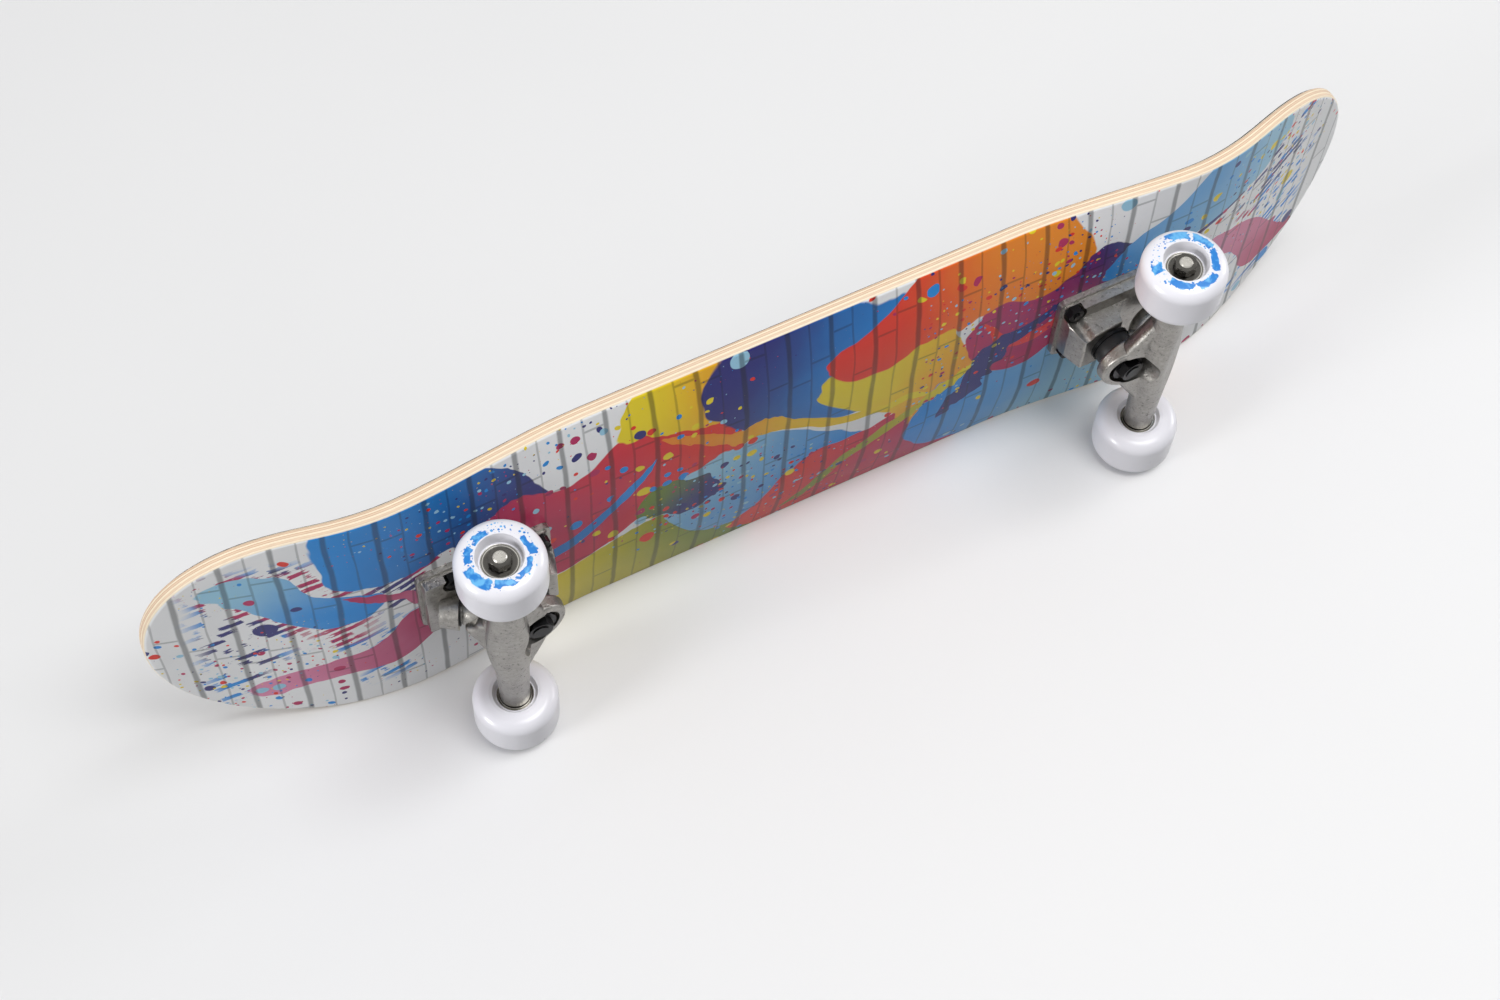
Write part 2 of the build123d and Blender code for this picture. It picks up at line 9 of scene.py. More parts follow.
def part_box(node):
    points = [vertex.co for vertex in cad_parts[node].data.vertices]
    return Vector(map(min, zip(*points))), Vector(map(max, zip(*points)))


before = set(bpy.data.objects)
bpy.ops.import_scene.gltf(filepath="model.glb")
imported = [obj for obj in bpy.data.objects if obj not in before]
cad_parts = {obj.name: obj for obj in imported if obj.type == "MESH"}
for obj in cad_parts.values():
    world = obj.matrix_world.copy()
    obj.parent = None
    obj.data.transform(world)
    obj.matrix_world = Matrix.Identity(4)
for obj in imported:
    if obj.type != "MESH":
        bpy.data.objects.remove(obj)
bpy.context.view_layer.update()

bl_info = {
    "name": "Skateboard finishes",
    "version": (1, 0, 0),
    "blender": (4, 5, 0),
    "location": "View3D > Sidebar > Skateboard",
    "description": "Paints, metals, rubber and a studio stage for a street skateboard",
    "category": "Object",
}

# Sizes shared with the part, in metres
DECK_BOTTOM = 0.0715
DECK_THICKNESS = 0.00924
PLY_COUNT = 7
KICK_START = 0.240
KICK_BEND = 0.080
NOSE_SLOPE = math.tan(math.radians(20.0))
TAIL_SLOPE = math.tan(math.radians(15.6))
FLAT_HALF = 0.031
DECK_HALF = 0.105
CONCAVE_DEPTH = 0.0096
FADE_START = 0.135
FADE_END = 0.265
AXLE_REACH = 0.214
AXLE_HEIGHT = 0.0255
RING_FACE_RADII = (0.0097, 0.0108)
ENDS = ("front", "rear")
SIDES = ("left", "right")


def colour_prop(name, description, default):
    """A colour setting."""
    return bpy.props.FloatVectorProperty(
        name=name, description=description, default=default, size=3, min=0.0, max=1.0, subtype="COLOR"
    )


def length_prop(name, description, default):
    """A length setting in metres."""
    return bpy.props.FloatProperty(
        name=name, description=description, default=default, min=0.0, subtype="DISTANCE", unit="LENGTH"
    )


def share_prop(name, description, default):
    """A setting from nothing to all."""
    return bpy.props.FloatProperty(
        name=name, description=description, default=default, min=0.0, max=1.0, subtype="FACTOR"
    )


def power_prop(name, description, default):
    """A lamp's power setting."""
    return bpy.props.FloatProperty(name=name, description=description, default=default, min=0.0, unit="POWER")


class DeckLook(bpy.types.PropertyGroup):
    """Colours and sizes of the deck's print, plies and grip."""

    wall: colour_prop("Wall", "White of the painted wall on the underside", (0.92, 0.93, 0.945))
    mortar: colour_prop("Mortar", "Grey of the lines between the courses", (0.24, 0.245, 0.25))
    maple: colour_prop("Maple", "Pale wood of the long-grain plies", (0.90, 0.78, 0.60))
    glue_line: colour_prop("Glue line", "Brown of the lines between plies", (0.50, 0.20, 0.08))
    grit: colour_prop("Grit", "Black of the grip sheet", (0.012, 0.012, 0.013))
    course: length_prop("Course", "Height of one course of the wall", 0.0140)
    brick: length_prop("Brick", "Length of one brick", 0.082)
    lacquer: share_prop("Lacquer", "How strongly the clear lacquer shines", 0.15)


class MetalLook(bpy.types.PropertyGroup):
    """Colours of the castings and the steel pieces."""

    casting: colour_prop("Casting", "Raw cast aluminium", (0.35, 0.337, 0.315))
    bright: colour_prop("Bright steel", "Axles, rings and washers", (0.60, 0.58, 0.53))
    dark: colour_prop("Dark steel", "Shields, washers and axle nuts", (0.11, 0.105, 0.095))
    black: colour_prop("Black steel", "Oxidised bolts and kingpins", (0.014, 0.014, 0.015))
    grain: length_prop("Grain", "Size of the grain in the castings", 0.0009)


class WheelLook(bpy.types.PropertyGroup):
    """Colours of the wheels, bushings and cups."""

    urethane: colour_prop("Urethane", "White of the wheels", (0.83, 0.825, 0.88))
    print_blue: colour_prop("Print", "Blue of the marks on the outer faces", (0.008, 0.20, 0.62))
    print_pale: colour_prop("Pale print", "Paler blue where the marks are thin", (0.13, 0.46, 0.82))
    rubber: colour_prop("Rubber", "Bushings and pivot cups", (0.014, 0.014, 0.015))
    cage: colour_prop("Cage", "Plastic of the bearing cages", (0.50, 0.40, 0.22))


class StageLook(bpy.types.PropertyGroup):
    """The floor and the strength of the lamps."""

    floor: colour_prop("Floor", "Pale paper under the board", (0.81, 0.81, 0.815))
    bounce: share_prop("Bounce", "Light that the paper throws back at the board", 0.27)
    key: power_prop("Key", "Lamp high above the board", 54.0)
    nose_side: power_prop("Nose side", "Low lamp beyond the nose", 138.0)
    tail_side: power_prop("Tail side", "Low lamp beyond the tail", 345.0)
    ambient: share_prop("Ambient", "Light from overhead, dimmer from the dark side", 0.36)


class Wire:
    """A value on its way through one material: Python operators add Math nodes behind it."""

    def __init__(self, finish, socket):
        self.finish = finish
        self.socket = socket

    def join(self, operation, *others):
        """One Math node fed by this value and others."""
        return self.finish.add("ShaderNodeMath", {"operation": operation}, dict(enumerate((self, *others))))

    def __add__(self, other):
        return self.join("ADD", other)

    __radd__ = __add__

    def __sub__(self, other):
        return self.join("SUBTRACT", other)

    def __rsub__(self, other):
        return self.finish.add("ShaderNodeMath", {"operation": "SUBTRACT"}, {0: other, 1: self})

    def __mul__(self, other):
        return self.join("MULTIPLY", other)

    __rmul__ = __mul__

    def __truediv__(self, other):
        return self.join("DIVIDE", other)

    def __pow__(self, other):
        return self.join("POWER", other)

    def __gt__(self, other):
        return self.join("GREATER_THAN", other)

    def __abs__(self):
        return self.join("ABSOLUTE")

    def at_least(self, other):
        """The larger of two values."""
        return self.join("MAXIMUM", other)

    def at_most(self, other):
        """The smaller of two values."""
        return self.join("MINIMUM", other)

    def whole(self):
        """The value rounded down."""
        return self.join("FLOOR")

    def part(self):
        """What the value has over its whole number."""
        return self.join("FRACT")

    def ease(self, low, high):
        """Rises smoothly from 0 to 1 while the value runs from low to high; falls where low is above high."""
        settings = {"interpolation_type": "SMOOTHSTEP", "clamp": True}
        return self.finish.add("ShaderNodeMapRange", settings, {0: self, 1: low, 2: high, 3: 0.0, 4: 1.0})


class Finish:
    """The nodes of one procedural material, or of the world."""

    def __init__(self, name, kind="materials", coordinates="Object"):
        self.block = getattr(bpy.data, kind).new(name)
        self.block.use_nodes = True
        self.tree = self.block.node_tree
        self.tree.nodes.clear()
        self.place = self.add("ShaderNodeTexCoord", output=coordinates)

    def add(self, kind, settings=None, sockets=None, output=0):
        """Adds a node: its settings first, a ramp's stops among them, then its sockets' values or links."""
        node = self.tree.nodes.new(kind)
        for key, value in (settings or {}).items():
            if key == "stops":
                self.fill_ramp(node.color_ramp, *value)
            else:
                setattr(node, key, value)
        for key, value in (sockets or {}).items():
            if isinstance(value, Wire):
                self.tree.links.new(value.socket, node.inputs[key])
            else:
                node.inputs[key].default_value = value
        return Wire(self, node.outputs[output]) if len(node.outputs) else node

    def fill_ramp(self, ramp, blend, stops):
        """Sets how a colour ramp goes between its stops, and the stops, each a place and a colour."""
        ramp.interpolation = blend
        while len(ramp.elements) < len(stops):
            ramp.elements.new(1.0)
        for element, (place, colour) in zip(ramp.elements, stops):
            element.position = place
            element.color = (*colour, 1.0)

    def xyz(self, vector=None):
        """The three numbers of a vector, the object's own place if none is given."""
        node = self.tree.nodes.new("ShaderNodeSeparateXYZ")
        self.tree.links.new((vector or self.place).socket, node.inputs[0])
        return [Wire(self, socket) for socket in node.outputs]

    def point(self, x=0.0, y=0.0, z=0.0):
        """A vector from three values."""
        return self.add("ShaderNodeCombineXYZ", None, {0: x, 1: y, 2: z})

    def mapped(self, place=(0, 0, 0), turn=(0, 0, 0), size=(1, 1, 1), vector=None, kind="POINT"):
        """A place moved, turned and stretched."""
        sockets = {"Vector": vector or self.place, "Location": place, "Rotation": turn, "Scale": size}
        return self.add("ShaderNodeMapping", {"vector_type": kind}, sockets)

    def noise(self, scale, detail=3.0, roughness=0.5, vector=None):
        """Soft noise from 0 to 1 at so many features to a metre."""
        sockets = {"Vector": vector or self.place, "Scale": scale, "Detail": detail, "Roughness": roughness}
        return self.add("ShaderNodeTexNoise", None, sockets)

    def chance(self, vector):
        """A random number from 0 to 1 for each vector."""
        return self.add("ShaderNodeTexWhiteNoise", {"noise_dimensions": "3D"}, {"Vector": vector})

    def mix(self, share, first, second, blend="MIX"):
        """Goes from the first colour to the second as the share rises from 0 to 1."""
        ends = [(*c[:3], 1.0) if isinstance(c, tuple) else c for c in (first, second)]
        settings = {"data_type": "RGBA", "blend_type": blend}
        return self.add("ShaderNodeMix", settings, {0: share, 6: ends[0], 7: ends[1]}, output=2)

    def tint(self, colour, value):
        """A colour made lighter or darker by a value."""
        return self.mix(1.0, colour, self.point(value, value, value), "MULTIPLY")

    def dragged(self, place, scale, reach, detail):
        """A flat place pushed about by noise, as wet paint is."""
        swirl = self.add(
            "ShaderNodeTexNoise", None, {"Vector": place, "Scale": scale, "Detail": detail}, output="Color"
        )
        centred = self.add("ShaderNodeVectorMath", {"operation": "SUBTRACT"}, {0: swirl, 1: (0.5, 0.5, 0.5)})
        settings = {"operation": "MULTIPLY_ADD"}
        return self.add("ShaderNodeVectorMath", settings, {0: centred, 1: (reach, reach, 0.0), 2: place})

    def drops(self, scale, seed, place):
        """Random cells: the distance from the middle of each, and three random numbers for it."""
        moved = self.mapped((seed, seed * 0.37, 0.0), vector=place)
        settings = {"feature": "F1", "voronoi_dimensions": "2D"}
        sockets = {"Vector": moved, "Scale": scale}
        middle = self.add("ShaderNodeTexVoronoi", settings, sockets, output="Distance")
        cell = self.add("ShaderNodeTexVoronoi", settings, sockets, output="Color")
        return middle, self.xyz(cell)

    def bump(self, height, depth, strength):
        """A surface normal from a height from 0 to 1, of a real depth in metres."""
        return self.add("ShaderNodeBump", None, {"Strength": strength, "Distance": depth, "Height": height})

    def looked_at(self):
        """1 for rays from the camera, off mirrors and through clear pieces, 0 for light on its way."""
        kinds = ("Camera", "Glossy", "Transmission")
        camera, glossy, through = (self.add("ShaderNodeLightPath", output=f"Is {kind} Ray") for kind in kinds)
        return camera.at_least(glossy).at_least(through)

    def from_axle(self):
        """A wheel's own place: inward or outward along the board, up, and the distance from the axle."""
        x, _, z = self.xyz()
        out = abs(x) - AXLE_REACH
        up = z - AXLE_HEIGHT
        return out, up, (out * out + up * up) ** 0.5

    def surface(self, **sockets):
        """Ends the material in one principled shader."""
        named = {key.replace("_", " ").title().replace("Ior", "IOR"): value for key, value in sockets.items()}
        shader = self.add("ShaderNodeBsdfPrincipled", None, named)
        self.add("ShaderNodeOutputMaterial", None, {"Surface": shader})
        return self.block


def solid(prop):
    """A colour setting as a shader colour."""
    return (prop[0], prop[1], prop[2], 1.0)


def wear(nodes, material):
    """Gives CAD nodes one material."""
    for name in nodes:
        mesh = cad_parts[name].data
        mesh.materials.clear()
        mesh.materials.append(material)


def both_ends(*names):
    """Node names of pieces that each truck has."""
    return [f"{end}_{name}" for end in ENDS for name in names]


def all_wheels(*names):
    """Node names of pieces that each wheel has."""
    return [f"{end}_{side}_{name}" for end in ENDS for side in SIDES for name in names]


def ply_depth(finish):
    """How far through the deck a point lies, 0 on the underside and 1 on top.

    The underside's height is the kick, a slope that eases in over the bend, plus the concave, which grows
    with the square of the distance past the flat strip and fades out towards the ends."""
    x, y, z = finish.xyz()
    run = abs(x) - KICK_START
    share = (run / KICK_BEND).at_least(0.0).at_most(1.0)
    eased = KICK_BEND * (share ** 3.0 - 0.5 * share ** 4.0) + (run - KICK_BEND).at_least(0.0)
    slope = TAIL_SLOPE + (x > 0.0) * (NOSE_SLOPE - TAIL_SLOPE)
    fade = abs(x).ease(FADE_START, FADE_END)
    past_flat = (abs(y) - FLAT_HALF).at_least(0.0) / (DECK_HALF - FLAT_HALF)
    rise = slope * eased + CONCAVE_DEPTH * (1.0 - fade) * past_flat * past_flat
    return (z - DECK_BOTTOM - rise) / DECK_THICKNESS


# Splashes of the underside print: middle along and across, half sizes, turn in degrees, two paints
SPLASHES = (
    (-0.318, -0.030, 0.052, 0.024, 24, "cyan", "blue"),
    (-0.282, 0.052, 0.066, 0.020, -14, "pink", "crimson"),
    (-0.226, -0.062, 0.074, 0.042, 18, "blue", "navy"),
    (-0.196, 0.046, 0.060, 0.040, 42, "orange", "yellow"),
    (-0.128, -0.022, 0.088, 0.050, -16, "crimson", "red"),
    (-0.110, 0.074, 0.090, 0.042, 6, "yellow", "leaf"),
    (-0.060, -0.082, 0.070, 0.030, -4, "yellow", "orange"),
    (-0.030, 0.030, 0.066, 0.040, 35, "cyan", "blue"),
    (0.018, -0.060, 0.080, 0.050, 12, "navy", "blue"),
    (0.040, 0.072, 0.086, 0.044, -8, "red", "crimson"),
    (0.084, 0.000, 0.070, 0.048, 48, "yellow", "orange"),
    (0.108, -0.078, 0.080, 0.040, -10, "red", "orange"),
    (0.146, 0.060, 0.078, 0.046, 20, "blue", "cyan"),
    (0.186, -0.030, 0.062, 0.048, -30, "crimson", "navy"),
    (0.232, 0.052, 0.062, 0.030, 26, "yellow", "orange"),
    (0.262, -0.056, 0.074, 0.026, -18, "blue", "cyan"),
    (0.326, 0.020, 0.050, 0.016, 32, "pink", "crimson"),
    (-0.166, 0.006, 0.070, 0.006, -38, "navy", "blue"),
    (-0.010, -0.014, 0.100, 0.007, 22, "orange", "yellow"),
    (0.060, 0.040, 0.090, 0.006, -30, "leaf", "yellow"),
    (0.200, 0.012, 0.080, 0.006, 40, "red", "pink"),
    (-0.250, 0.010, 0.060, 0.005, 50, "crimson", "pink"),
    (0.130, 0.010, 0.060, 0.008, -55, "navy", "navy"),
    (-0.080, 0.016, 0.034, 0.020, 10, "leaf", "navy"),
)

PAINTS = {
    "yellow": (0.86, 0.68, 0.025),
    "red": (0.78, 0.035, 0.02),
    "crimson": (0.47, 0.018, 0.11),
    "orange": (0.88, 0.28, 0.02),
    "leaf": (0.16, 0.24, 0.02),
    "blue": (0.012, 0.27, 0.74),
    "navy": (0.022, 0.022, 0.17),
    "cyan": (0.34, 0.62, 0.80),
    "pink": (0.74, 0.27, 0.44),
}


def flat_place(finish):
    """The place on the board seen from below, without its height."""
    x, y, _ = finish.xyz()
    return finish.point(x, y, 0.0)


def wall_courses(finish, look):
    """Mortar lines and brick shades of a painted wall whose courses run across the board.

    The place along the board is cut into courses of one height; each course is cut into bricks from a random
    start. Every second line between courses is broad and soft, the others and the joints are thin."""
    x, y, _ = finish.xyz()
    sway = finish.noise(14.0, 2.0) - 0.5
    along = (x + sway * 0.005) / look.course
    row = (along + 0.5).whole()
    broad = (row * 0.5).part() > 0.25
    edge = abs((along + 0.5).part() - 0.5)
    width = 0.050 + 0.075 * broad + (finish.noise(60.0, 2.0) - 0.5) * 0.06
    line = (edge / width.at_least(0.02)).ease(1.30, 0.45) * (0.62 + 0.38 * broad)
    course = along.whole()
    across = y / look.brick + finish.chance(finish.point(course, 3.0, 7.0)) * 5.0 + sway * 0.06
    joint = (0.5 - abs(across.part() - 0.5)).ease(0.016, 0.005) * 0.7
    shade = finish.chance(finish.point(course, across.whole(), 1.0))
    return line.at_least(joint), shade


def splash_colour(finish, colour):
    """Paint thrown over a colour: ovals on a place that noise drags about, each blending two paints."""
    wet = finish.dragged(flat_place(finish), 12.0, 0.085, 0.0)
    wet = finish.dragged(wet, 42.0, 0.018, 2.0)
    for along, across, half_long, half_wide, turn, first, second in SPLASHES:
        size = (half_long, half_wide, 1.0)
        local = finish.mapped((along, across, 0.0), (0.0, 0.0, math.radians(turn)), size, wet, "TEXTURE")
        reach = finish.add("ShaderNodeVectorMath", {"operation": "LENGTH"}, {0: local}, output="Value")
        paint = finish.mix(finish.xyz(local)[0].ease(-0.9, 0.8), PAINTS[first], PAINTS[second])
        colour = finish.mix(reach.ease(1.012, 0.988), colour, paint)
    return colour


def spatter_colour(finish, colour):
    """Drops of many paints thrown over a colour: cells of random size, kept where broad noise is high."""
    place = finish.dragged(flat_place(finish), 90.0, 0.004, 1.0)
    choice = [PAINTS[name] for name in ("navy", "blue", "crimson", "red", "cyan", "yellow")]
    stops = [(index / len(choice), paint) for index, paint in enumerate(choice)]
    for scale, seed, share in ((48.0, 2.0, 0.40), (110.0, 5.0, 0.42), (230.0, 9.0, 0.40)):
        middle, cell = finish.drops(scale, seed, place)
        zone = finish.noise(8.0, 1.0, 0.5, finish.mapped((seed, 0.0, 0.0))).ease(0.50, 0.62)
        drop = (middle - cell[0] ** 3.0 * share * zone).ease(0.012, -0.012)
        paint = finish.add("ShaderNodeValToRGB", {"stops": ("CONSTANT", stops)}, {0: cell[1]})
        colour = finish.mix(drop, colour, paint)
    return colour


TICK_ROW = 0.0064
TICK_SLANT = math.radians(24.0)


def tick_colour(finish, colour):
    """Dry-brush ticks near both ends: slanted rows, cut into strokes by noise and frayed by finer noise."""
    x, y, _ = finish.xyz()
    turned = finish.mapped(turn=(0.0, 0.0, TICK_SLANT), vector=flat_place(finish))
    along, across, _ = finish.xyz(turned)
    rows = across / TICK_ROW
    fray = finish.noise(1.0, 3.0, 0.6, finish.point(along * 140.0, across * 620.0, 1.0)) - 0.5
    stroke = finish.noise(1.0, 2.0, 0.5, finish.point(along * 48.0, rows.whole() * 3.7, 0.0)) + fray * 0.22
    band = 0.5 - abs(rows.part() - 0.5) + fray * 0.45
    patch = finish.noise(10.0, 2.0, 0.5, finish.point(x, y, 4.0)).ease(0.44, 0.52)
    near_ends = abs(x).ease(0.205, 0.235) * abs(x).ease(0.382, 0.362) * abs(y).ease(0.088, 0.074)
    ink = finish.mix(finish.noise(13.0, 1.0).ease(0.44, 0.50), PAINTS["navy"], PAINTS["blue"])
    reddened = finish.noise(9.0, 1.0, 0.5, finish.point(x, y, 9.0)).ease(0.54, 0.58)
    ink = finish.mix(reddened, ink, PAINTS["crimson"])
    return finish.mix(band.ease(0.16, 0.22) * stroke.ease(0.50, 0.53) * patch * near_ends, colour, ink)


def deck_finish(look):
    """Lacquered print below, bare sanded plies round the rim, veneer on top."""
    finish = Finish("printed_maple")
    depth = ply_depth(finish)
    x, y, _ = finish.xyz()
    line, shade = wall_courses(finish, look)
    print_colour = finish.tint(solid(look.wall), 0.93 + 0.07 * shade + 0.08 * (finish.noise(40.0, 4.0) - 0.5))
    print_colour = tick_colour(finish, print_colour)
    print_colour = splash_colour(finish, print_colour)
    print_colour = spatter_colour(finish, print_colour)
    mortar = finish.mix(0.85, print_colour, solid(look.mortar), "MULTIPLY")
    print_colour = finish.mix(line * 0.92, print_colour, mortar)
    plies = depth * PLY_COUNT
    ply = plies.whole()
    seam = (0.5 - abs(plies.part() - 0.5)).ease(0.15, 0.03) * (0.25 + 0.75 * depth.ease(0.30, 0.45))
    crossed = (ply * 0.5).part() > 0.25
    fibre = finish.noise(1.0, 4.0, 0.6, finish.mapped(size=(60.0, 60.0, 900.0)))
    pores = finish.noise(1.0, 2.0, 0.6, finish.mapped(size=(240.0, 240.0, 2600.0)))
    wood = finish.mix(0.32 * crossed, solid(look.maple), solid(look.glue_line))
    wood = finish.tint(wood, 0.80 + 0.24 * fibre + 0.16 * pores)
    broken = finish.noise(30.0, 3.0, 0.6, finish.point(x, y, ply)).ease(0.30, 0.62)
    wood = finish.mix(seam * (0.55 + 0.40 * broken), wood, solid(look.glue_line))
    veneer_grain = finish.noise(1.0, 5.0, 0.6, finish.mapped(size=(9.0, 220.0, 40.0)))
    veneer = finish.tint(solid(look.maple), 0.78 + 0.3 * veneer_grain)
    printed = depth.ease(0.060, 0.025)
    colour = finish.mix(depth.ease(0.93, 0.97), wood, veneer)
    colour = finish.mix(printed, colour, print_colour)
    dust = finish.noise(90.0, 4.0, 0.6)
    print_height = 0.35 * line + 0.08 * dust
    wood_height = 0.6 * fibre + 0.4 * pores - 0.5 * seam
    height = printed * print_height + (1.0 - printed) * wood_height
    return finish.surface(
        base_color=colour,
        roughness=0.52 - 0.10 * printed + 0.10 * (dust - 0.5),
        coat_weight=printed * look.lacquer,
        coat_roughness=0.26,
        specular_ior_level=0.2,
        normal=finish.bump(height, 0.00012, 0.6),
    )


def grip_finish(look):
    """Sharp black grit: fine random grains, a few of them smoother and lit with a painted glint, scuffed
    lighter in broad patches.
    """
    finish = Finish("grip_grit")
    grain = finish.add("ShaderNodeTexVoronoi", {"feature": "F1"}, {"Scale": 1900.0}, output="Distance")
    cell = finish.add("ShaderNodeTexVoronoi", {"feature": "F1"}, {"Scale": 1900.0}, output="Color")
    painted_glint = finish.xyz(cell)[0].ease(0.90, 1.0)
    scuff = finish.noise(12.0, 5.0, 0.6).ease(0.45, 0.75)
    # Painted glint: a few grains have their colour raised many times over to stand for sparkles of light on
    # their faces.
    colour = finish.tint(solid(look.grit), 0.8 + 2.2 * scuff + 7.0 * painted_glint)
    rough = 0.92 - 0.45 * painted_glint
    return finish.surface(
        base_color=colour, roughness=rough, specular_ior_level=0.35, normal=finish.bump(grain, 0.00035, 0.9)
    )


def cast_finish(look):
    """Tumbled cast aluminium: sandy grain, darker pits, blotches of two sizes and faint scratches."""
    finish = Finish("cast_aluminium")
    grain = finish.noise(1.0 / look.grain, 3.0, 0.7)
    cloud = finish.noise(75.0, 5.0, 0.65)
    blotch = finish.noise(330.0, 3.0, 0.7)
    pit = finish.noise(520.0, 2.0, 0.5).ease(0.40, 0.30)
    drawn_out = finish.mapped(turn=(0.3, 0.5, 0.8), size=(90.0, 1600.0, 1600.0))
    scratch = finish.noise(1.0, 2.0, 0.5, drawn_out).ease(0.66, 0.72)
    tone = 0.62 + 0.50 * cloud + 0.70 * (blotch - 0.5) + 0.40 * (grain - 0.5) - 0.34 * pit + 0.16 * scratch
    return finish.surface(
        base_color=finish.tint(solid(look.casting), tone),
        metallic=0.96,
        roughness=0.34 + 0.25 * (blotch - 0.5) + 0.20 * (grain - 0.5) + 0.12 * pit,
        normal=finish.bump(grain * 0.5 + blotch * 0.9 - pit * 0.5, 0.00030, 0.65),
    )


def steel_finish(name, colour, metallic, roughness, fineness, contrast):
    """Steel with fine turning marks and a cloudy sheen."""
    finish = Finish(name)
    marks = finish.noise(1.0, 2.0, 0.6, finish.mapped(size=(fineness * 0.2, fineness, fineness * 0.2)))
    cloud = finish.noise(160.0, 4.0, 0.6)
    tone = 1.0 - contrast * 0.5 + contrast * (0.6 * cloud + 0.4 * marks)
    return finish.surface(
        base_color=finish.tint(solid(colour), tone),
        metallic=metallic,
        roughness=roughness + 0.12 * (cloud - 0.5) + 0.10 * (marks - 0.5),
        normal=finish.bump(marks, 0.00004, 0.35),
    )


def rubber_finish(name, colour, roughness):
    """Moulded rubber or plastic: fine mottling, a faint bloom and soft pits."""
    finish = Finish(name)
    fine = finish.noise(900.0, 3.0, 0.6)
    bloom = finish.noise(70.0, 4.0, 0.6).ease(0.40, 0.80)
    return finish.surface(
        base_color=finish.tint(solid(colour), 0.80 + 0.2 * fine + 0.3 * bloom),
        roughness=roughness + 0.14 * (bloom - 0.3) + 0.08 * (fine - 0.5),
        specular_ior_level=0.28,
        normal=finish.bump(fine, 0.00008, 0.4),
    )


# The ring of marks on a wheel's outer face: inner radius, width, least reach across, number of splashes
MARKS_RADIUS = 0.0140
MARKS_WIDTH = 0.0072
MARKS_REACH = 0.090
SPLASHES_ROUND_WHEEL = 7.0


def wheel_finish(look):
    """White urethane with a broken ring of blue marks on the outer face.

    The ring is laid out by distance from the axle and direction round it: a few ragged splashes of random
    depth, bent by noise, with specks between them."""
    finish = Finish("white_urethane")
    x, y, z = finish.xyz()
    out, up, radius = finish.from_axle()
    clear_of_opening = radius.ease(MARKS_RADIUS, MARKS_RADIUS + 0.0004)
    across = clear_of_opening * abs(y).ease(MARKS_REACH, MARKS_REACH + 0.004)
    level = (radius - MARKS_RADIUS) / MARKS_WIDTH
    turn = up.join("ARCTAN2", out) * (SPLASHES_ROUND_WHEEL / math.tau)
    own = x.join("SIGN") * 3.0 + y.join("SIGN")
    fray = finish.noise(420.0, 3.0, 0.6) - 0.5
    wide = finish.noise(130.0, 2.0, 0.6) - 0.5
    sector = turn + fray * 0.22 + wide * 0.95
    place = finish.point(sector.whole(), own, 2.0)
    lot = finish.xyz(finish.add("ShaderNodeTexWhiteNoise", None, {"Vector": place}, output="Color"))
    low = lot[0] * 0.30
    high = low + 0.42 + 0.50 * lot[1]
    height = level + fray * 0.30 + wide * 0.75
    along = sector.part()
    gap = along.ease(0.06, 0.10) * along.ease(0.97, 0.92)
    between = height.ease(low - 0.02, low + 0.02) * height.ease(high + 0.02, high - 0.02)
    splash = between * gap * (lot[2] > 0.32)
    middle, cell = finish.drops(520.0, 3.0, finish.point(x, z, 0.0))
    speck = (middle - cell[0] ** 2.0 * 0.46).ease(0.02, -0.02) * (height + wide).ease(1.00, 0.80)
    thick = finish.noise(120.0, 2.0).ease(0.34, 0.46)
    ink = across * splash.at_least(speck * thick) * level.ease(1.05, 0.95)
    body = finish.tint(solid(look.urethane), 0.97 + 0.05 * (finish.noise(60.0, 4.0) - 0.5))
    thin = finish.noise(200.0, 2.0).ease(0.45, 0.65)
    blue = finish.mix(thin, solid(look.print_blue), solid(look.print_pale))
    scuff = finish.noise(240.0, 4.0, 0.6)
    return finish.surface(
        base_color=finish.mix(ink, body, blue),
        roughness=0.30 + 0.12 * (scuff - 0.5),
        coat_weight=0.25,
        coat_roughness=0.12,
        specular_ior_level=0.45,
        normal=finish.bump(scuff, 0.00005, 0.25),
    )


def ring_finish(colour):
    """Ground bearing steel: a dark face between painted highlights at its two edges, which stand for lit
    chamfers, by distance from the axle.
    """
    finish = Finish("ground_steel")
    out, up, radius = finish.from_axle()
    inner, outer = (abs(radius - edge) for edge in RING_FACE_RADII)
    painted_edge_highlight = inner.ease(0.00030, 0.00012).at_least(outer.ease(0.00022, 0.00010))
    marks = finish.noise(1.0, 2.0, 0.6, finish.point(radius * 9000.0, up * 60.0, out * 60.0))
    # Painted highlight: the two bright bands at the face's edges stand for light caught on the chamfers; the
    # face between them is kept dark.
    tone = 0.26 + 0.14 * marks + 0.70 * painted_edge_highlight
    return finish.surface(
        base_color=finish.tint(solid(colour), tone),
        metallic=1.0,
        roughness=0.24 + 0.10 * (marks - 0.5),
        normal=finish.bump(marks, 0.00003, 0.3),
    )


class SKATEBOARD_OT_deck(bpy.types.Operator):
    """Prints and lacquers the deck's underside and sands its ply edge"""

    bl_idname = "skateboard.deck"
    bl_label = "Finish the deck"

    def execute(self, context):
        wear(["deck"], deck_finish(context.scene.deck_look))
        return {"FINISHED"}


class SKATEBOARD_OT_grip(bpy.types.Operator):
    """Covers the grip sheet with black grit"""

    bl_idname = "skateboard.grip"
    bl_label = "Finish the grip sheet"

    def execute(self, context):
        wear(["grip_tape"], grip_finish(context.scene.deck_look))
        return {"FINISHED"}


class SKATEBOARD_OT_castings(bpy.types.Operator):
    """Gives baseplates and hangers a tumbled cast surface"""

    bl_idname = "skateboard.castings"
    bl_label = "Finish the castings"

    def execute(self, context):
        wear(both_ends("baseplate", "hanger"), cast_finish(context.scene.metal_look))
        return {"FINISHED"}


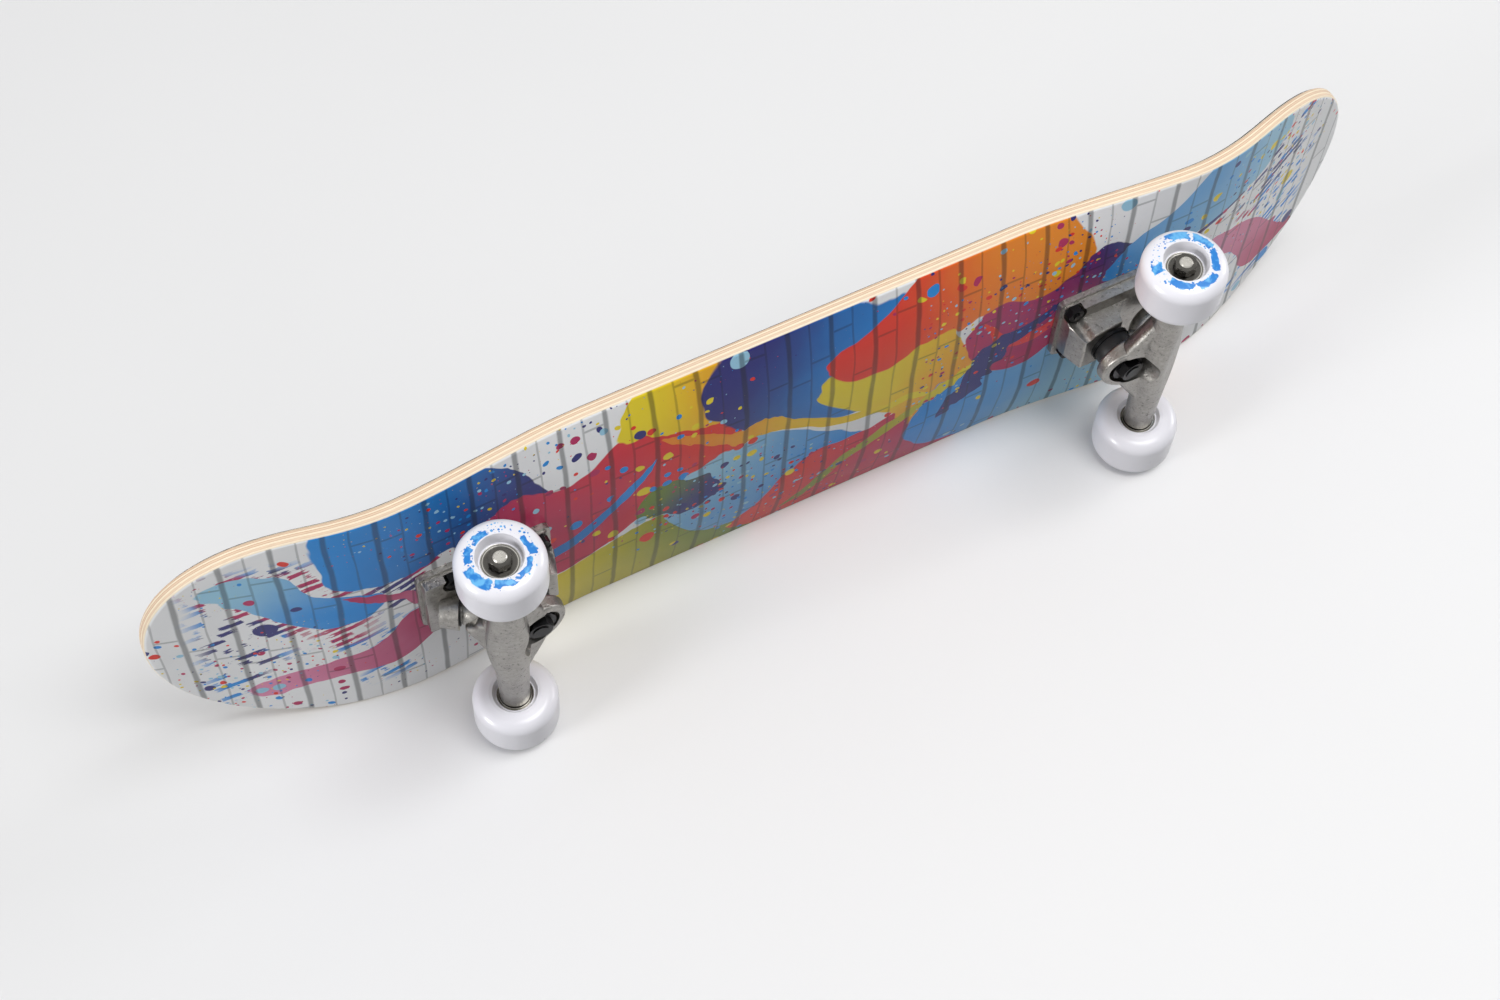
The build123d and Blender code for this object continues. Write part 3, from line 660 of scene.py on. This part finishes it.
class SKATEBOARD_OT_fasteners(bpy.types.Operator):
    """Blackens bolts, nuts, kingpins and cup washers"""

    bl_idname = "skateboard.fasteners"
    bl_label = "Finish the fasteners"

    def execute(self, context):
        look = context.scene.metal_look
        black = steel_finish("black_steel", look.black, 0.90, 0.34, 1500.0, 0.5)
        wear(both_ends("mounting_bolts", "lock_nuts", "kingpin", "kingpin_nut"), black)
        wear(both_ends("board_washer", "road_washer"), black)
        return {"FINISHED"}


class SKATEBOARD_OT_bushings(bpy.types.Operator):
    """Moulds bushings and pivot cups in black"""

    bl_idname = "skateboard.bushings"
    bl_label = "Finish the bushings"

    def execute(self, context):
        rubber = rubber_finish("black_rubber", context.scene.wheel_look.rubber, 0.48)
        wear(both_ends("board_bushing", "road_bushing", "pivot_cup"), rubber)
        return {"FINISHED"}


class SKATEBOARD_OT_axles(bpy.types.Operator):
    """Turns the axles, washers and axle nuts"""

    bl_idname = "skateboard.axles"
    bl_label = "Finish the axles"

    def execute(self, context):
        look = context.scene.metal_look
        bright = steel_finish("bright_steel", look.bright, 1.0, 0.28, 2200.0, 0.25)
        dark = steel_finish("dark_steel", look.dark, 0.95, 0.26, 1800.0, 0.4)
        wear(both_ends("axle"), bright)
        wear(both_ends("axle_nuts", "speed_washers"), dark)
        return {"FINISHED"}


class SKATEBOARD_OT_wheels(bpy.types.Operator):
    """Casts the wheels in white urethane with blue marks"""

    bl_idname = "skateboard.wheels"
    bl_label = "Finish the wheels"

    def execute(self, context):
        wear(all_wheels("wheel"), wheel_finish(context.scene.wheel_look))
        return {"FINISHED"}


class SKATEBOARD_OT_bearings(bpy.types.Operator):
    """Polishes rings, balls and spacers, and darkens shields and cages"""

    bl_idname = "skateboard.bearings"
    bl_label = "Finish the bearings"

    def execute(self, context):
        look = context.scene.metal_look
        ground = ring_finish(look.bright)
        shield = steel_finish("shield_steel", look.dark, 1.0, 0.28, 1200.0, 0.5)
        cage = rubber_finish("cage_plastic", context.scene.wheel_look.cage, 0.45)
        wear(all_wheels("bearing_outer_rings", "bearing_inner_rings"), ground)
        wear(all_wheels("bearing_balls", "bearing_spacer"), ground)
        wear(all_wheels("bearing_shields"), shield)
        wear(all_wheels("bearing_cages"), cage)
        return {"FINISHED"}


# Camera of the photograph: its place in metres, its right and up directions, and its lens in millimetres
CAMERA_PLACE = (-0.4238, -1.3328, -0.5900)
CAMERA_RIGHT = (0.889, -0.031, -0.456)
CAMERA_UP = (0.386, -0.483, 0.786)
CAMERA_LENS = 62.88


def add_camera():
    """The camera at the photograph's place, with its axes squared up."""
    data = bpy.data.cameras.new("camera")
    camera = bpy.data.objects.new("camera", data)
    bpy.context.scene.collection.objects.link(camera)
    right = Vector(CAMERA_RIGHT).normalized()
    back = right.cross(Vector(CAMERA_UP)).normalized()
    up = back.cross(right)
    turn = Matrix((right, up, back)).transposed()
    camera.matrix_world = Matrix.Translation(CAMERA_PLACE) @ turn.to_4x4()
    data.sensor_width = 36.0
    data.lens = CAMERA_LENS
    data.clip_end = 50.0
    bpy.context.scene.camera = camera


# The lamps' places and sizes, and the point that they all face, in metres
LAMP_TARGET = (0.0, 0.0, 0.06)
KEY_PLACE = (0.6, -2.7, -0.42)
KEY_SIZE = 1.5
NOSE_SIDE_PLACE = (7.5, -1.95, 0.0)
TAIL_SIDE_PLACE = (-7.5, -1.95, -0.7)
SIDE_SIZE = 2.4


def add_lamp(name, place, power, size):
    """A soft square lamp aimed at the board."""
    data = bpy.data.lights.new(name, "AREA")
    data.energy = power
    data.size = size
    lamp = bpy.data.objects.new(name, data)
    lamp.location = place
    lamp.rotation_mode = "QUATERNION"
    lamp.rotation_quaternion = (Vector(LAMP_TARGET) - Vector(place)).to_track_quat("-Z", "Y")
    bpy.context.scene.collection.objects.link(lamp)


def paper_finish(look):
    """Pale paper on its front; views from behind and the world's light pass through it."""
    finish = Finish("floor_paper")
    tone = 0.985 + 0.03 * finish.noise(3.0, 2.0)
    pale = finish.tint(solid(look.floor), tone)
    shader = finish.add("ShaderNodeBsdfPrincipled", None, {"Base Color": pale, "Roughness": 0.85})
    clear = finish.add("ShaderNodeBsdfTransparent")
    behind = finish.add("ShaderNodeNewGeometry", output="Backfacing")
    passed = behind.at_least(1.0 - finish.looked_at())
    sheet = finish.add("ShaderNodeMixShader", None, {0: passed, 1: shader, 2: clear})
    finish.add("ShaderNodeOutputMaterial", None, {"Surface": sheet})
    return finish.block


# The paper's half size, its gap to the board, and the height at which the lower wheels meet it, in metres
PAPER_HALF = 6.0
PAPER_GAP = 0.0008
WHEEL_REST_HEIGHT = 0.006


def add_floor(look):
    """The paper that the board lies on, a plane against the deck's lower edge and the lower wheels' faces."""
    deck_edge = Vector((0.0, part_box("deck")[1].y, DECK_BOTTOM + CONCAVE_DEPTH + DECK_THICKNESS / 2))
    wheel_face = Vector((0.0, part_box("front_left_wheel")[1].y, WHEEL_REST_HEIGHT))
    along = Vector((1.0, 0.0, 0.0))
    across = (deck_edge - wheel_face).normalized()
    middle = (deck_edge + wheel_face) / 2 + Vector((0.0, PAPER_GAP, 0.0))
    signs = ((-1, -1), (-1, 1), (1, 1), (1, -1))
    corners = [middle + (along * i + across * j) * PAPER_HALF for i, j in signs]
    mesh = bpy.data.meshes.new("floor")
    mesh.from_pydata([tuple(corner) for corner in corners], [], [(0, 1, 2, 3)])
    if mesh.polygons[0].normal.y > 0:
        mesh.flip_normals()
    mesh.materials.append(paper_finish(look))
    floor = bpy.data.objects.new("floor", mesh)
    bpy.context.scene.collection.objects.link(floor)


def set_world(look):
    """Soft light from overhead that fades towards the dark side, and what the paper throws back.

    Camera, mirror and see-through rays all meet the same pale paper, white overhead and greyer elsewhere."""
    sky = Finish("studio", "worlds", "Generated")
    _, y, z = sky.xyz()
    overhead = (0.3 * z - 0.9 * y).ease(-0.75, 0.80)
    white = (1.0, 1.0, 1.0, 1.0)
    paper = solid(look.floor)
    light = look.ambient * (0.12 + 0.88 * overhead) + look.bounce * y.ease(0.0, 0.6)
    lit = sky.add("ShaderNodeBackground", None, {"Color": white, "Strength": light})
    backdrop = sky.add("ShaderNodeBackground", None, {"Color": paper, "Strength": 0.5 + 0.5 * overhead})
    shader = sky.add("ShaderNodeMixShader", None, {0: sky.looked_at(), 1: lit, 2: backdrop})
    sky.add("ShaderNodeOutputWorld", None, {"Surface": shader})
    bpy.context.scene.world = sky.block


class SKATEBOARD_OT_stage(bpy.types.Operator):
    """Lays the board on pale paper under soft lamps and sets up the camera"""

    bl_idname = "skateboard.stage"
    bl_label = "Set the stage"

    def execute(self, context):
        look = context.scene.stage_look
        add_camera()
        add_floor(look)
        set_world(look)
        add_lamp("key", KEY_PLACE, look.key, KEY_SIZE)
        add_lamp("nose_side", NOSE_SIDE_PLACE, look.nose_side, SIDE_SIZE)
        add_lamp("tail_side", TAIL_SIDE_PLACE, look.tail_side, SIDE_SIZE)
        context.scene.view_settings.view_transform = "Standard"
        return {"FINISHED"}


class SKATEBOARD_PT_finishes(bpy.types.Panel):
    """Lists the skateboard's settings and steps"""

    bl_idname = "SKATEBOARD_PT_finishes"
    bl_label = "Skateboard"
    bl_space_type = "VIEW_3D"
    bl_region_type = "UI"
    bl_category = "Skateboard"

    def draw(self, context):
        column = self.layout.column()
        for group in ("deck_look", "metal_look", "wheel_look", "stage_look"):
            settings = getattr(context.scene, group)
            for key in settings.__annotations__:
                column.prop(settings, key)
        for operator in OPERATORS:
            column.operator(operator.bl_idname)


GROUPS = {"deck_look": DeckLook, "metal_look": MetalLook, "wheel_look": WheelLook, "stage_look": StageLook}
OPERATORS = (
    SKATEBOARD_OT_deck,
    SKATEBOARD_OT_grip,
    SKATEBOARD_OT_castings,
    SKATEBOARD_OT_fasteners,
    SKATEBOARD_OT_bushings,
    SKATEBOARD_OT_axles,
    SKATEBOARD_OT_wheels,
    SKATEBOARD_OT_bearings,
    SKATEBOARD_OT_stage,
)


def register():
    """Registers settings, operators and the panel."""
    for name, group in GROUPS.items():
        bpy.utils.register_class(group)
        setattr(bpy.types.Scene, name, bpy.props.PointerProperty(type=group))
    for cls in (*OPERATORS, SKATEBOARD_PT_finishes):
        bpy.utils.register_class(cls)


def unregister():
    """Takes everything that register added away again."""
    for cls in (SKATEBOARD_PT_finishes, *reversed(OPERATORS)):
        bpy.utils.unregister_class(cls)
    for name, group in reversed(GROUPS.items()):
        delattr(bpy.types.Scene, name)
        bpy.utils.unregister_class(group)


def main():
    register()
    for operator in OPERATORS:
        group, step = operator.bl_idname.split(".")
        getattr(getattr(bpy.ops, group), step)()


if __name__ == "__main__":
    main()
